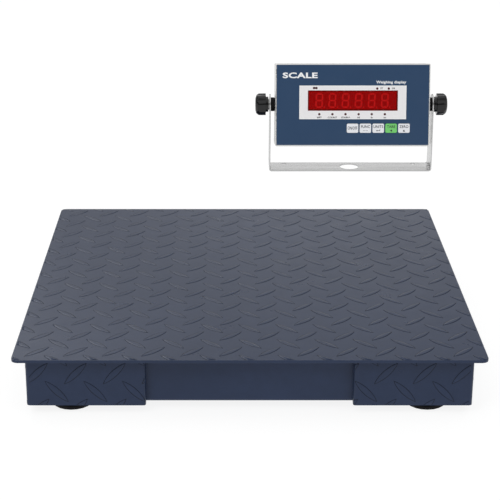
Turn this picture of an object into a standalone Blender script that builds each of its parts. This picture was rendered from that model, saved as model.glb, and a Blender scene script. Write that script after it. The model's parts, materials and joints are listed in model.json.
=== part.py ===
"""Pallet scale: a checker-plate weighing platform on four load cells and ball-jointed feet, with its
separate weighing indicator, tilting in a steel yoke, held above the platform's front right quarter.

Frame: metres, +Z up, +X to the right and +Y to the rear of someone reading the indicator. The origin is
on the floor, under the centre of the platform.
"""

import math

import bmesh
import bpy
from mathutils import Matrix, Vector

MM = 0.001
GAP = 0.3 * MM  # left between pieces that rest on or pass through each other

# Deck plate and overall height
DECK_X = 800 * MM
DECK_Y = 800 * MM
DECK_TOP = 109 * MM
DECK_THICK = 5 * MM
DECK_CORNER_RADIUS = 12 * MM

# Frame under the deck: corner skirts, end channels, side beams and ribs
SHEET_THICK = 4 * MM
BEND_RADIUS = 6 * MM
GROUND_CLEARANCE = 16 * MM
SKIRT_INSET = 20.5 * MM
SKIRT_LENGTH = 203 * MM
RECESS = 14 * MM  # of the channels and beams behind the skirts' outer faces
CHANNEL_LIFT = 0.5 * MM  # of the channels' and beams' lower edges above the skirts'
CHANNEL_FLANGE = 45 * MM
BEAM_WIDTH = 119 * MM
RIB_WIDTH = 50 * MM
RIB_HEIGHT = 50 * MM
RIB_THICK = 3 * MM
RIB_OFFSET_X = 95 * MM

# Shear-beam load cell and the spacer that it is bolted to
CELL_LENGTH = 130 * MM
CELL_SECTION = 32 * MM
CELL_FOOT_HOLE_INSET = 15.8 * MM
CELL_BOLT_OFFSETS = (76.2 * MM, 101.6 * MM)  # from the foot's hole to the two bolt holes
CELL_BOLT_RADIUS = 6.5 * MM
CELL_POCKET_RADIUS = 10 * MM
CELL_POCKET_DEPTH = 8 * MM
CELL_POCKET_OFFSET = 40 * MM
CELL_BOSS_RADIUS = 6 * MM
CELL_BOSS_LENGTH = 9 * MM
SPACER_WIDTH = 60 * MM
SPACER_MARGIN = 14 * MM

# Levelling foot
FOOT_INSET_Y = 70 * MM
FOOT_RADIUS = 35 * MM
FOOT_RIM_HEIGHT = 7 * MM
FOOT_SHOULDER_HEIGHT = 13 * MM
FOOT_HUB_RADIUS = 14 * MM
FOOT_HUB_HEIGHT = 19 * MM
BALL_CENTRE_Z = 14 * MM
BALL_RADIUS = 7 * MM
BALL_CLEARANCE = 0.4 * MM  # for the stem's ball to turn in its liner
SOCKET_WALL = 2.4 * MM
STEM_RADIUS = 6 * MM
NECK_RADIUS = 4.5 * MM
HEX_ACROSS_FLATS = 17 * MM
HEX_BOTTOM = 24 * MM
HEX_HEIGHT = 8 * MM
STEM_ENGAGEMENT = 28 * MM
NUT_ROOM = 13.1 * MM  # between the hexagon and the load cell

# Junction box under the deck, and the signal cable's gland in the rear channel
JUNCTION_SIZE = Vector((110, 76, 40)) * MM
JUNCTION_WALL = 3 * MM
JUNCTION_GAP_TO_CHANNEL = 20 * MM
LID_THICK = 3 * MM
BOARD_THICK = 1.6 * MM
BOARD_EDGE_GAP = 3 * MM
GLAND_THREAD_RADIUS = 8 * MM
GLAND_FLANGE_RADIUS = 12 * MM
GLAND_FLANGE_LENGTH = 5 * MM
GLAND_DOME_RADIUS = 10 * MM
GLAND_DOME_LENGTH = 14 * MM
GLAND_BORE_RADIUS = 3.5 * MM

# Where the indicator is held over the deck
INDICATOR_OFFSET_X = 165 * MM
INDICATOR_SETBACK = 107 * MM  # of its tilt axis behind the deck's front edge
INDICATOR_LIFT = 303.6 * MM  # of the yoke's underside above the deck
HEAD_TILT = 12  # degrees that the indicator's face is turned up from upright

# Yoke
YOKE_THICK = 2 * MM
YOKE_WIDTH = 46 * MM
YOKE_DROP = 108 * MM  # from the tilt axis to the underside
YOKE_TOP_RADIUS = 17 * MM
YOKE_BEND_RADIUS = 4 * MM
YOKE_STRAIGHT_HEIGHT = 30 * MM
YOKE_CENTRE_HOLE_RADIUS = 15.5 * MM
YOKE_SCREW_HOLE_RADIUS = 4 * MM
YOKE_SCREW_SPACING = 216 * MM
YOKE_SCREW_SETBACK = 15 * MM

# Indicator case
CASE_WIDTH = 250 * MM
CASE_HEIGHT = 133 * MM
CASE_DEPTH = 70 * MM
CASE_WALL = 1.5 * MM
CASE_EDGE_RADIUS = 2 * MM
FILM_THICK = 1 * MM
FILM_MARGIN = 2 * MM
WINDOW_SIZE = Vector((172.6, 54)) * MM
WINDOW_CENTRE = Vector((0, 4.4)) * MM
LENS_SIZE = Vector((144.6, 32)) * MM
LENS_CENTRE = Vector((0, 7.3)) * MM
LENS_THICK = 1.2 * MM
DISPLAY_MARGIN = 2 * MM
BOARD_MARGIN = Vector((22, 12)) * MM
BOARD_SETBACK = 15 * MM  # behind the inner face of the case's front
BOARD_POST_RADIUS = 3.5 * MM
BOARD_POST_INSET = 5 * MM
CHIP_SIZE = Vector((24, 6, 24)) * MM
CONNECTOR_SIZE = Vector((60, 9, 8)) * MM
TRANSFORMER_SIZE = Vector((18, 16, 22)) * MM
BATTERY_SIZE = Vector((70, 46, 98)) * MM
BATTERY_TERMINAL_RADIUS = 3 * MM
BATTERY_TERMINAL_HEIGHT = 6 * MM

# Keys
KEY_COUNT = 5
KEY_SIZE = Vector((18.6, 14.8)) * MM
KEY_PITCH = 20.8 * MM
KEY_ROW_Z = -37.2 * MM
KEY_RADIUS = 2 * MM
KEY_PROUD = 0.4 * MM
KEY_TRAVEL = 0.6 * MM
KEY_SLOT_MARGIN = 1 * MM
DOME_RADIUS = 5 * MM

# Pivots at the case's two sides
STUD_RADIUS = 3 * MM
STUD_HEAD_RADIUS = 6 * MM
STUD_HEAD_LENGTH = 4 * MM
STUD_IN_KNOB = 12 * MM
BUSH_RADIUS = 11.3 * MM
BUSH_THICK = 6.2 * MM
WASHER_RADIUS = 9 * MM
WASHER_THICK = 1.2 * MM
KNOB_NECK_RADIUS = 12.5 * MM
KNOB_NECK_LENGTH = 4.2 * MM
KNOB_RADIUS = 17.8 * MM
KNOB_LENGTH = 16 * MM
KNOB_LOBES = 8
KNOB_FLUTE_DEPTH = 1.6 * MM

# Sockets on the case's rear cover
SIGNAL_SOCKET_X = 60 * MM
POWER_SOCKET_X = 95 * MM
SOCKET_ROW_Z = -38 * MM
SIGNAL_SOCKET_RADIUS = 9 * MM
POWER_SOCKET_RADIUS = 6.5 * MM
SOCKET_FLANGE_EXTRA = 3 * MM
SOCKET_FLANGE_THICK = 2 * MM
SOCKET_LENGTH = 12 * MM
SOCKET_WALL_THICK = 1.5 * MM

CUT_MARGIN = 1 * MM  # by which a cutter runs past the wall that it cuts
ROUND_STEPS = 20
SMALL_STEPS = 14

# Levels and lines that several pieces share
DECK_UNDERSIDE = DECK_TOP - DECK_THICK
FRAME_TOP = DECK_UNDERSIDE - GAP
CHANNEL_BOTTOM = GROUND_CLEARANCE + CHANNEL_LIFT
SKIRT_X = DECK_X / 2 - SKIRT_INSET
SKIRT_Y = DECK_Y / 2 - SKIRT_INSET
WEB_X = SKIRT_X - RECESS
WEB_Y = SKIRT_Y - RECESS
BEAM_CENTRE_X = WEB_X - BEAM_WIDTH / 2
FOOT_Y = DECK_Y / 2 - FOOT_INSET_Y
SPACER_TOP = FRAME_TOP - SHEET_THICK - GAP
CELL_BOTTOM = HEX_BOTTOM + HEX_HEIGHT + NUT_ROOM
CELL_TOP = CELL_BOTTOM + CELL_SECTION
SPACER_THICK = SPACER_TOP - GAP - CELL_TOP
GLAND_Z = (CHANNEL_BOTTOM + FRAME_TOP) / 2
PIVOT = Vector((
    INDICATOR_OFFSET_X,
    INDICATOR_SETBACK - DECK_Y / 2,
    DECK_TOP + INDICATOR_LIFT + YOKE_DROP,
))
CASE_FRONT = -CASE_DEPTH / 2  # measured from the tilt axis, as the indicator's other depths are
FILM_FRONT = CASE_FRONT - GAP - FILM_THICK
CASE_SIDE = CASE_WIDTH / 2
COVER_FRONT = CASE_DEPTH / 2 + GAP
BOARD_SIZE = Vector((CASE_WIDTH, CASE_HEIGHT)) - 2 * BOARD_MARGIN
YOKE_INNER = CASE_SIDE + GAP + BUSH_THICK + GAP
YOKE_OUTER = YOKE_INNER + YOKE_THICK
KNOB_FACE = YOKE_OUTER + GAP + WASHER_THICK + GAP
KEY_ROW_CENTRE_X = (KEY_COUNT - 1) * KEY_PITCH / 2

CORNERS = {
    "front_left": (-1, -1),
    "front_right": (1, -1),
    "rear_left": (-1, 1),
    "rear_right": (1, 1),
}
SIDES = {"left": -1, "right": 1}

# Rotations that lay a shape, made flat or upright, the way that it stands
FACING_FRONT = Matrix.Rotation(math.pi / 2, 4, "X")  # a flat plate's upper face turns to -Y
FACING_REAR = Matrix.Rotation(-math.pi / 2, 4, "X")  # a turned piece's upper end turns to +Y
UPRIGHT = Matrix.Identity(4)


# ---------------------------------------------------------------- meshes

def mesh_from(bm):
    """The bmesh as a mesh data block."""
    mesh = bpy.data.meshes.new("shape")
    bm.to_mesh(mesh)
    bm.free()
    return mesh


def evaluated(data, modifiers=()):
    """The mesh that a curve or mesh gives once these (type, settings) modifiers have run, caps welded."""
    obj = bpy.data.objects.new("shape", data)
    bpy.context.scene.collection.objects.link(obj)
    for kind, settings in modifiers:
        modifier = obj.modifiers.new(kind.title(), kind)
        for key, value in settings.items():
            setattr(modifier, key, value)
    bpy.context.view_layer.update()
    graph = bpy.context.evaluated_depsgraph_get()
    mesh = bpy.data.meshes.new_from_object(obj.evaluated_get(graph))
    bpy.data.objects.remove(obj)
    bm = bmesh.new()
    bm.from_mesh(mesh)
    bmesh.ops.remove_doubles(bm, verts=bm.verts, dist=0.001 * MM)
    bm.to_mesh(mesh)
    bm.free()
    return mesh


def combined(mesh, others, operation):
    """The mesh with each of the others cut out of it or joined to it."""
    helpers = [bpy.data.objects.new("helper", other) for other in others]
    for helper in helpers:
        bpy.context.scene.collection.objects.link(helper)
    steps = [("BOOLEAN", {"operation": operation, "object": helper}) for helper in helpers]
    result = evaluated(mesh, steps)
    for helper in helpers:
        bpy.data.objects.remove(helper)
    return result


def cut(mesh, *others):
    return combined(mesh, others, "DIFFERENCE")


def joined(mesh, *others):
    return combined(mesh, others, "UNION")


def moved(mesh, offset, rotation=UPRIGHT):
    mesh.transform(Matrix.Translation(offset) @ rotation)
    return mesh


def box(size, centre=(0, 0, 0)):
    bm = bmesh.new()
    bmesh.ops.create_cube(bm, size=1)
    bmesh.ops.scale(bm, vec=size, verts=bm.verts)
    bmesh.ops.translate(bm, vec=centre, verts=bm.verts)
    return mesh_from(bm)


def cylinder(radius, length, centre=(0, 0, 0), rotation=UPRIGHT, steps=SMALL_STEPS):
    bm = bmesh.new()
    bmesh.ops.create_cone(
        bm, cap_ends=True, segments=steps, radius1=radius, radius2=radius, depth=length
    )
    return moved(mesh_from(bm), centre, rotation)


def turned(profile, steps=ROUND_STEPS):
    """A solid of revolution about Z. The (radius, height) profile runs down its outer side."""
    mesh = bpy.data.meshes.new("profile")
    closed = profile[0][0] > 0
    edges = [(i, i + 1) for i in range(len(profile) - 1)]
    if closed:
        edges.append((len(profile) - 1, 0))
    mesh.from_pydata([(radius, 0, height) for radius, height in profile], edges, [])
    screw = {
        "steps": steps,
        "render_steps": steps,
        "use_merge_vertices": True,
        "merge_threshold": 0.00001,
    }
    return evaluated(mesh, [("SCREW", screw)])


def plate(outlines, thickness):
    """A flat plate with its lower face at Z = 0. The first outline is its edge, and the rest are holes."""
    curve = bpy.data.curves.new("outline", "CURVE")
    curve.dimensions = "2D"
    curve.fill_mode = "BOTH"
    curve.extrude = thickness / 2
    for outline in outlines:
        spline = curve.splines.new("POLY")
        spline.points.add(len(outline) - 1)
        spline.use_cyclic_u = True
        for point, (x, y) in zip(spline.points, outline, strict=True):
            point.co = (x, y, 0, 1)
    mesh = evaluated(curve)
    bpy.data.curves.remove(curve)
    return moved(mesh, (0, 0, thickness / 2))


def arc(centre, radius, start, end, steps):
    """Points on an arc, both ends included, with angles in degrees."""
    angles = [math.radians(start + (end - start) * i / steps) for i in range(steps + 1)]
    return [(centre[0] + radius * math.cos(a), centre[1] + radius * math.sin(a)) for a in angles]


def circle(centre, radius, steps=SMALL_STEPS):
    return arc(centre, radius, 0, 360, steps)[:-1]


def rounded_rectangle(size, centre=(0, 0), radius=0.0, steps=4):
    half_x = size[0] / 2 - radius
    half_y = size[1] / 2 - radius
    corners = ((1, 1, 0), (-1, 1, 90), (-1, -1, 180), (1, -1, 270))
    points = []
    for sign_x, sign_y, start in corners:
        corner = (centre[0] + sign_x * half_x, centre[1] + sign_y * half_y)
        points += arc(corner, radius, start, start + 90, steps) if radius else [corner]
    return points


def bent(corners, radii, steps=3):
    """An open path through the corners, with each inner corner rounded to its radius."""
    points = [Vector(corners[0])]
    for before, corner, after, radius in zip(corners, corners[1:], corners[2:], radii, strict=False):
        corner = Vector(corner)
        into = (corner - Vector(before)).normalized()
        out = (Vector(after) - corner).normalized()
        reach = radius * math.tan(into.angle(out) / 2)
        centre = corner - into * reach + (out - into * into.dot(out)).normalized() * radius
        spoke = corner - into * reach - centre
        for i in range(steps + 1):
            turn = into.angle_signed(out) * i / steps
            points.append(centre + Matrix.Rotation(-turn, 2) @ spoke)
    return [*points, Vector(corners[-1])]


def folded(path, length, thickness, across, up):
    """Sheet metal: the path in the plane of two axes, drawn out along the third, thick to the left of it."""
    along = across.cross(up)
    bm = bmesh.new()
    rows = [
        [bm.verts.new(across * u + up * v + along * end) for u, v in path]
        for end in (-length / 2, length / 2)
    ]
    for i in range(len(path) - 1):
        bm.faces.new((rows[0][i], rows[0][i + 1], rows[1][i + 1], rows[1][i]))
    solidify = {"thickness": thickness, "offset": -1, "use_even_offset": True}
    return evaluated(mesh_from(bm), [("SOLIDIFY", solidify)])


X_AXIS, Y_AXIS, Z_AXIS = (Vector(axis) for axis in ((1, 0, 0), (0, 1, 0), (0, 0, 1)))


# ---------------------------------------------------------------- scene

def clear_scene():
    for obj in list(bpy.data.objects):
        bpy.data.objects.remove(obj)


def material(name, colour, roughness, metallic=0.0):
    made = bpy.data.materials.new(name)
    made.use_nodes = True
    shader = made.node_tree.nodes["Principled BSDF"]
    shader.inputs["Base Color"].default_value = (*colour, 1)
    shader.inputs["Roughness"].default_value = roughness
    shader.inputs["Metallic"].default_value = metallic
    return made


def make_materials():
    return {
        "painted_steel": material("painted_steel", (0.035, 0.043, 0.075), 0.45),
        "bare_steel": material("bare_steel", (0.55, 0.56, 0.58), 0.35, 1.0),
        "stainless": material("stainless", (0.68, 0.68, 0.69), 0.3, 1.0),
        "black_rubber": material("black_rubber", (0.012, 0.012, 0.013), 0.7),
        "black_plastic": material("black_plastic", (0.015, 0.015, 0.017), 0.35),
        "nylon": material("nylon", (0.7, 0.69, 0.65), 0.5),
        "blue_film": material("blue_film", (0.032, 0.062, 0.119), 0.4),
        "grey_print": material("grey_print", (0.74, 0.73, 0.74), 0.4),
        "red_lens": material("red_lens", (0.3, 0.0, 0.0), 0.15),
        "key_white": material("key_white", (0.8, 0.8, 0.83), 0.4),
        "key_green": material("key_green", (0.12, 0.65, 0.12), 0.4),
        "circuit_green": material("circuit_green", (0.02, 0.16, 0.06), 0.5),
        "box_grey": material("box_grey", (0.42, 0.43, 0.44), 0.5),
    }


def make_collection(name):
    collection = bpy.data.collections.new(name)
    bpy.context.scene.collection.children.link(collection)
    return collection


def empty(name, location, collection):
    """A parent for pieces that stand round one point, such as a joint's axis."""
    obj = bpy.data.objects.new(name, None)
    obj.location = location
    collection.objects.link(obj)
    return obj


class Assembly:
    """The collection and the materials that every piece is placed with."""

    def __init__(self, name):
        self.collection = make_collection(name)
        self.materials = make_materials()

    def place(self, name, mesh, finish, location=(0, 0, 0), parent=None, turn=0.0):
        """A named piece. turn is its rotation about Z, in radians."""
        mesh.name = name
        mesh.materials.clear()
        mesh.materials.append(self.materials[finish])
        obj = bpy.data.objects.new(name, mesh)
        obj.location = location
        obj.rotation_euler.z = turn
        obj.parent = parent
        self.collection.objects.link(obj)
        return obj


def smooth(mesh):
    """Shades a round piece smooth, with its edges kept sharp."""
    mesh.shade_smooth()
    mesh.set_sharp_from_angle(angle=math.radians(35))
    return mesh


# ---------------------------------------------------------------- platform

def add_deck(scale):
    outline = rounded_rectangle((DECK_X, DECK_Y), radius=DECK_CORNER_RADIUS, steps=6)
    scale.place("deck_plate", plate([outline], DECK_THICK), "painted_steel", (0, 0, DECK_UNDERSIDE))


def add_skirts(scale):
    """An L of checker plate round each corner, its two ends folded back to the channel and the beam."""
    inner_x, inner_y = SKIRT_X - SKIRT_LENGTH, SKIRT_Y - SKIRT_LENGTH
    height = FRAME_TOP - GROUND_CLEARANCE
    for corner, (side, end) in CORNERS.items():
        path = bent(
            [
                (side * inner_x, end * (WEB_Y + GAP)),
                (side * inner_x, end * SKIRT_Y),
                (side * SKIRT_X, end * SKIRT_Y),
                (side * SKIRT_X, end * inner_y),
                (side * (WEB_X + GAP), end * inner_y),
            ],
            [SHEET_THICK, BEND_RADIUS, SHEET_THICK],
        )
        if side == end:
            path.reverse()
        mesh = folded(path, height, SHEET_THICK, X_AXIS, Y_AXIS)
        scale.place(f"skirt_{corner}", mesh, "painted_steel", (0, 0, GROUND_CLEARANCE + height / 2))


def add_end_channels(scale):
    """The C-section channels across the front and rear, with the signal cable's hole in the rear one."""
    length = 2 * (BEAM_CENTRE_X - BEAM_WIDTH / 2 - GAP)
    tip = WEB_Y - CHANNEL_FLANGE
    for name, end in (("front_channel", -1), ("rear_channel", 1)):
        corners = [
            (end * tip, FRAME_TOP),
            (end * WEB_Y, FRAME_TOP),
            (end * WEB_Y, CHANNEL_BOTTOM),
            (end * tip, CHANNEL_BOTTOM),
        ]
        if end > 0:
            corners.reverse()
        mesh = folded(bent(corners, [BEND_RADIUS] * 2), length, SHEET_THICK, Y_AXIS, Z_AXIS)
        if end > 0:
            hole = cylinder(
                GLAND_THREAD_RADIUS + GAP,
                SHEET_THICK + 2 * CUT_MARGIN,
                (0, WEB_Y - SHEET_THICK / 2, GLAND_Z),
                FACING_REAR,
            )
            mesh = cut(mesh, hole)
        scale.place(name, mesh, "painted_steel")


def inverted_u(width, height, length, thickness, radius):
    """An inverted U section that runs along Y, its upper face at Z = 0."""
    corners = [(width / 2, -height), (width / 2, 0), (-width / 2, 0), (-width / 2, -height)]
    return folded(bent(corners, [radius] * 2), length, thickness, X_AXIS, Z_AXIS)


def add_beams_and_ribs(scale):
    for side_name, side in SIDES.items():
        beam = inverted_u(
            BEAM_WIDTH, FRAME_TOP - CHANNEL_BOTTOM, 2 * WEB_Y, SHEET_THICK, BEND_RADIUS
        )
        scale.place(f"{side_name}_beam", beam, "painted_steel", (side * BEAM_CENTRE_X, 0, FRAME_TOP))
        rib_length = 2 * (WEB_Y - CHANNEL_FLANGE - GAP)
        rib = inverted_u(RIB_WIDTH, RIB_HEIGHT, rib_length, RIB_THICK, RIB_THICK + GAP)
        scale.place(f"{side_name}_rib", rib, "painted_steel", (side * RIB_OFFSET_X, 0, FRAME_TOP))


def load_cell_mesh():
    """A shear-beam cell with its foot's hole at the origin, its fixed end at +Y and its top at Z = 0."""
    centre_y = CELL_LENGTH / 2 - CELL_FOOT_HOLE_INSET
    body = box((CELL_SECTION, CELL_LENGTH, CELL_SECTION), (0, centre_y, -CELL_SECTION / 2))
    boss = cylinder(
        CELL_BOSS_RADIUS,
        2 * CELL_BOSS_LENGTH,
        (0, CELL_LENGTH - CELL_FOOT_HOLE_INSET, -CELL_SECTION / 2),
        FACING_REAR,
    )
    through = CELL_SECTION + 2 * CUT_MARGIN
    holes = [cylinder(STEM_RADIUS + GAP, through, (0, 0, -CELL_SECTION / 2))]
    for offset in CELL_BOLT_OFFSETS:
        holes.append(cylinder(CELL_BOLT_RADIUS, through, (0, offset, -CELL_SECTION / 2)))
    sideways = Matrix.Rotation(math.pi / 2, 4, "Y")
    for side in SIDES.values():
        centre = (side * CELL_SECTION / 2, CELL_POCKET_OFFSET, -CELL_SECTION / 2)
        holes.append(cylinder(CELL_POCKET_RADIUS, 2 * CELL_POCKET_DEPTH, centre, sideways))
    return cut(joined(body, boss), *holes)


def spacer_mesh():
    """The block that holds a cell's fixed end under the beam, on the cell's axes, its top at Z = 0."""
    first, last = CELL_BOLT_OFFSETS
    size = (SPACER_WIDTH, last - first + 2 * SPACER_MARGIN)
    outline = rounded_rectangle(size, (0, (first + last) / 2))
    holes = [circle((0, offset), CELL_BOLT_RADIUS) for offset in CELL_BOLT_OFFSETS]
    return moved(plate([outline, *holes], SPACER_THICK), (0, 0, -SPACER_THICK))


def add_load_cells(scale):
    cell, spacer = load_cell_mesh(), spacer_mesh()
    for corner, (side, end) in CORNERS.items():
        turn = 0.0 if end < 0 else math.pi
        x, y = side * BEAM_CENTRE_X, end * FOOT_Y
        scale.place(f"load_cell_{corner}", cell, "bare_steel", (x, y, CELL_TOP), turn=turn)
        scale.place(f"cell_spacer_{corner}", spacer, "bare_steel", (x, y, SPACER_TOP), turn=turn)


def sphere_profile(radius, start, end, step=22):
    """(radius, height) points on a sphere round the origin, between two elevations in degrees."""
    count = max(1, round(abs(end - start) / step))
    return arc((0, 0), radius, start, end, count)


def elevation_at(radius, level):
    """The elevation, in degrees, at which a sphere of this radius is this far out from its axis."""
    return math.degrees(math.acos(level / radius))


def foot_base_mesh():
    """The rubber-soled disc with a spherical seat, round the ball's centre, at the origin."""
    seat = BALL_RADIUS + BALL_CLEARANCE + SOCKET_WALL + GAP
    mouth_top = FOOT_HUB_HEIGHT - BALL_CENTRE_Z
    mouth = math.degrees(math.asin(mouth_top / seat))
    floor = -BALL_CENTRE_Z
    inside = sphere_profile(seat, -90, mouth)
    inside[0] = (0, -seat)
    outside = [
        (FOOT_HUB_RADIUS, mouth_top),
        (FOOT_HUB_RADIUS, floor + FOOT_SHOULDER_HEIGHT),
        (FOOT_RADIUS, floor + FOOT_RIM_HEIGHT),
        (FOOT_RADIUS, floor + MM),
        (FOOT_RADIUS - MM, floor),
        (0, floor),
    ]
    return smooth(turned([*inside, *outside]))


def foot_socket_mesh():
    """The nylon liner between the ball and its seat, open above for the stem's neck."""
    inner = BALL_RADIUS + BALL_CLEARANCE
    outer = inner + SOCKET_WALL
    top = elevation_at(inner, NECK_RADIUS + SOCKET_WALL / 2)
    outside = sphere_profile(outer, top, -60)
    inside = sphere_profile(inner, -60, top)
    return smooth(turned([*outside, *inside], SMALL_STEPS))


def foot_stem_mesh():
    """The ball, neck, hexagon and thread, round the ball's centre, at the origin."""
    ball_top = elevation_at(BALL_RADIUS, NECK_RADIUS)
    hexagon = HEX_BOTTOM - BALL_CENTRE_Z
    thread_top = CELL_BOTTOM + STEM_ENGAGEMENT - BALL_CENTRE_Z
    ball = sphere_profile(BALL_RADIUS, ball_top, -90)
    ball[-1] = (0, -BALL_RADIUS)
    profile = [
        (0, thread_top),
        (STEM_RADIUS - MM, thread_top),
        (STEM_RADIUS, thread_top - MM),
        (STEM_RADIUS, hexagon + HEX_HEIGHT / 2),
        (NECK_RADIUS, hexagon + HEX_HEIGHT / 2),
        *ball,
    ]
    flats = cylinder(
        HEX_ACROSS_FLATS / math.sqrt(3), HEX_HEIGHT, (0, 0, hexagon + HEX_HEIGHT / 2), steps=6
    )
    return joined(smooth(turned(profile, SMALL_STEPS)), flats)


def add_feet(scale):
    base, socket, stem = foot_base_mesh(), foot_socket_mesh(), foot_stem_mesh()
    for corner, (side, end) in CORNERS.items():
        centre = (side * BEAM_CENTRE_X, end * FOOT_Y, BALL_CENTRE_Z)
        ball = empty(f"ball_centre_{corner}", centre, scale.collection)
        scale.place(f"foot_base_{corner}", base, "black_rubber", parent=ball)
        scale.place(f"foot_socket_{corner}", socket, "nylon", parent=ball)
        scale.place(f"foot_stem_{corner}", stem, "bare_steel", parent=ball)


def add_junction_box(scale):
    """The summing box that hangs under the deck, its lid below and its board inside."""
    length_x, length_y, height = JUNCTION_SIZE
    centre_y = WEB_Y - CHANNEL_FLANGE - JUNCTION_GAP_TO_CHANNEL - length_y / 2
    hollow = Vector((length_x, length_y, height)) - Vector((2, 2, 1)) * JUNCTION_WALL
    shell = cut(
        box(JUNCTION_SIZE, (0, 0, -height / 2)),
        box(
            (hollow.x, hollow.y, hollow.z + CUT_MARGIN),
            (0, 0, -JUNCTION_WALL - (hollow.z + CUT_MARGIN) / 2),
        ),
    )
    scale.place("junction_box", shell, "box_grey", (0, centre_y, FRAME_TOP))
    lid = plate([rounded_rectangle((length_x, length_y), radius=JUNCTION_WALL)], LID_THICK)
    lid_z = FRAME_TOP - height - GAP - LID_THICK
    scale.place("junction_lid", lid, "box_grey", (0, centre_y, lid_z))
    board_size = (hollow.x - 2 * BOARD_EDGE_GAP, hollow.y - 2 * BOARD_EDGE_GAP)
    board = plate([rounded_rectangle(board_size)], BOARD_THICK)
    terminals = box((board_size[0] * 0.8, 9 * MM, 8 * MM), (0, board_size[1] / 4, -3.5 * MM))
    board_z = FRAME_TOP - height / 2
    scale.place("summing_board", joined(board, terminals), "circuit_green", (0, centre_y, board_z))


def add_signal_gland(scale):
    """The gland in the rear channel that the signal cable leaves through."""
    profile = [
        (GLAND_DOME_RADIUS - 2 * MM, GLAND_FLANGE_LENGTH + GLAND_DOME_LENGTH),
        (GLAND_DOME_RADIUS, GLAND_FLANGE_LENGTH + GLAND_DOME_LENGTH - 3 * MM),
        (GLAND_DOME_RADIUS, GLAND_FLANGE_LENGTH),
        (GLAND_FLANGE_RADIUS, GLAND_FLANGE_LENGTH),
        (GLAND_FLANGE_RADIUS, GAP),
        (GLAND_THREAD_RADIUS, GAP),
        (GLAND_THREAD_RADIUS, -SHEET_THICK - GLAND_FLANGE_LENGTH),
        (GLAND_BORE_RADIUS, -SHEET_THICK - GLAND_FLANGE_LENGTH),
        (GLAND_BORE_RADIUS, GLAND_FLANGE_LENGTH + GLAND_DOME_LENGTH),
    ]
    mesh = moved(smooth(turned(profile)), (0, 0, 0), FACING_REAR)
    scale.place("signal_gland", mesh, "black_plastic", (0, WEB_Y, GLAND_Z))


# ---------------------------------------------------------------- indicator

def yoke_side_outline():
    """The yoke seen along X, as (depth, height) from the tilt axis: square below, tapered, round above."""
    half = YOKE_WIDTH / 2
    bottom = -YOKE_DROP - CUT_MARGIN
    shoulder = -YOKE_DROP + YOKE_STRAIGHT_HEIGHT
    reach = math.hypot(half, shoulder)
    lean = math.degrees(math.acos(YOKE_TOP_RADIUS / reach) - math.atan2(-shoulder, half))
    top = arc((0, 0), YOKE_TOP_RADIUS, lean, 180 - lean, 12)
    return [(half, bottom), (half, shoulder), *top, (-half, shoulder), (-half, bottom)]


def add_yoke(scale, axis):
    """The U of stainless sheet that the case tilts in, with the screw holes in its base."""
    corners = [
        (-YOKE_OUTER, YOKE_TOP_RADIUS + CUT_MARGIN),
        (-YOKE_OUTER, -YOKE_DROP),
        (YOKE_OUTER, -YOKE_DROP),
        (YOKE_OUTER, YOKE_TOP_RADIUS + CUT_MARGIN),
    ]
    path = bent(corners, [YOKE_BEND_RADIUS] * 2)
    strip = folded(path, YOKE_WIDTH, YOKE_THICK, X_AXIS, Z_AXIS)
    width = 2 * (YOKE_OUTER + CUT_MARGIN)
    keep = plate([yoke_side_outline()], width)
    along_x = Matrix(((0, 0, 1, 0), (1, 0, 0, 0), (0, 1, 0, 0), (0, 0, 0, 1)))
    keep = moved(keep, (-width / 2, 0, 0), along_x)
    shaped = combined(strip, [keep], "INTERSECT")
    sideways = Matrix.Rotation(math.pi / 2, 4, "Y")
    floor = -YOKE_DROP + YOKE_THICK / 2
    deep = YOKE_THICK + 2 * CUT_MARGIN
    holes = [cylinder(YOKE_CENTRE_HOLE_RADIUS, deep, (0, 0, floor), steps=ROUND_STEPS)]
    for side in SIDES.values():
        screw = (side * YOKE_SCREW_SPACING / 2, YOKE_SCREW_SETBACK, floor)
        holes.append(cylinder(YOKE_SCREW_HOLE_RADIUS, deep, screw))
        arm = (side * (YOKE_INNER + YOKE_THICK / 2), 0, 0)
        holes.append(cylinder(STUD_RADIUS + GAP, deep, arm, sideways))
    scale.place("yoke", cut(shaped, *holes), "stainless", parent=axis)


def key_centre(index):
    """(x, z) of a key, from the tilt axis. The keys run from the middle to the right."""
    return (index * KEY_PITCH, KEY_ROW_Z)


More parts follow.
